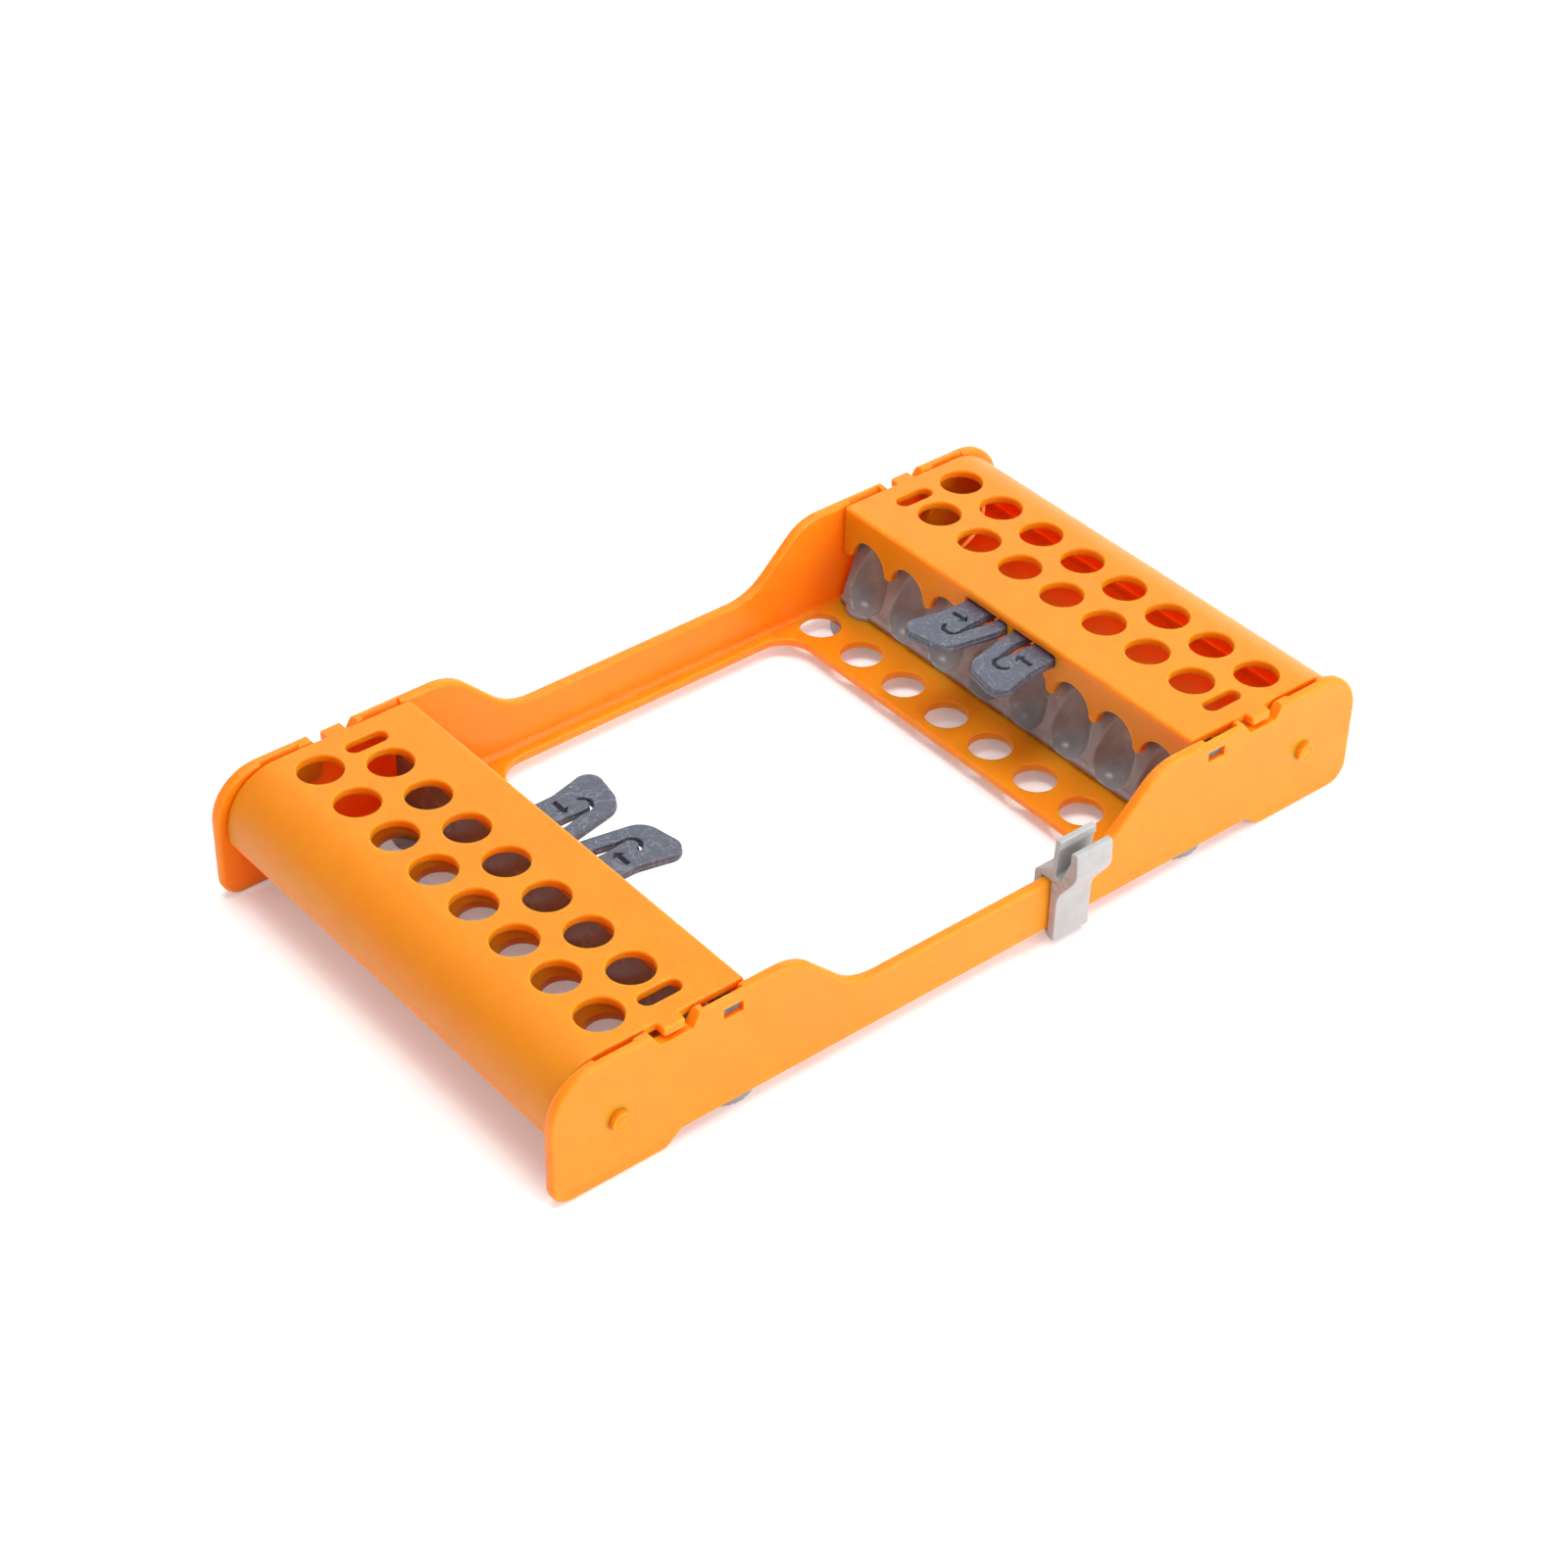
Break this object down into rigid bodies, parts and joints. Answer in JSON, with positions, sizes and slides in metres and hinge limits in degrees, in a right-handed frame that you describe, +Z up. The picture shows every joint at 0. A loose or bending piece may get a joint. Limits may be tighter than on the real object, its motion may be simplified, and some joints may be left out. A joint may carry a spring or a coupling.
{
  "type": "dental instrument cassette",
  "caption": "Open tray that holds hand instruments in scooped rests under a hinged perforated cover at each end, with squeeze latches and a rail clip.",
  "frame": {"origin": "middle of the tray in plan, on the plane of its feet", "axes": "+X along the tray from one hinged cover to the other, +Y across the instruments to the side away from the rail clip, +Z up"},
  "size_m": [0.2022, 0.1186, 0.0288],
  "materials": {
    "orange_plastic": "slightly glossy moulded plastic",
    "latch_plastic": "satin, scuffed by use",
    "silicone": "matt silicone",
    "clip_plastic": "matt moulded plastic"
  },
  "bodies": {
    "tray": {"frame": "orange_plastic", "instrument_rest_left": "silicone", "instrument_rest_right": "silicone"},
    "rail_clip": {"rail_clip": "clip_plastic"},
    "cover_left": {"cover_left": "orange_plastic", "latch_spring_left_front": "latch_plastic", "latch_spring_left_back": "latch_plastic"},
    "cover_right": {"cover_right": "orange_plastic", "latch_spring_right_front": "latch_plastic", "latch_spring_right_back": "latch_plastic"},
    "latch_left_front": {"latch_left_front": "latch_plastic"},
    "latch_left_back": {"latch_left_back": "latch_plastic"},
    "latch_right_front": {"latch_right_front": "latch_plastic"},
    "latch_right_back": {"latch_right_back": "latch_plastic"}
  },
  "joints": [
    {"name": "cover_left_hinge", "type": "hinge", "parent": "tray", "child": "cover_left", "pos_m": [-0.0865, 0, 0.014], "axis": [0, -1, 0], "range_deg": [0, 88]},
    {"name": "cover_right_hinge", "type": "hinge", "parent": "tray", "child": "cover_right", "pos_m": [0.0865, 0, 0.014], "axis": [0, 1, 0], "range_deg": [0, 88]},
    {"name": "latch_left_front_slide", "type": "slide", "parent": "cover_left", "child": "latch_left_front", "axis": [0, 1, 0], "range_m": [0, 0.0022], "stiffness_N_per_m": 1000, "deforming": ["latch_spring_left_front"]},
    {"name": "latch_left_back_slide", "type": "slide", "parent": "cover_left", "child": "latch_left_back", "axis": [0, -1, 0], "range_m": [0, 0.0022], "stiffness_N_per_m": 1000, "deforming": ["latch_spring_left_back"]},
    {"name": "latch_right_front_slide", "type": "slide", "parent": "cover_right", "child": "latch_right_front", "axis": [0, 1, 0], "range_m": [0, 0.0022], "stiffness_N_per_m": 1000, "deforming": ["latch_spring_right_front"]},
    {"name": "latch_right_back_slide", "type": "slide", "parent": "cover_right", "child": "latch_right_back", "axis": [0, -1, 0], "range_m": [0, 0.0022], "stiffness_N_per_m": 1000, "deforming": ["latch_spring_right_back"]},
    {"name": "rail_clip_slide", "type": "slide", "parent": "tray", "child": "rail_clip", "axis": [-1, 0, 0], "range_m": [0, 0.0433]}
  ]
}
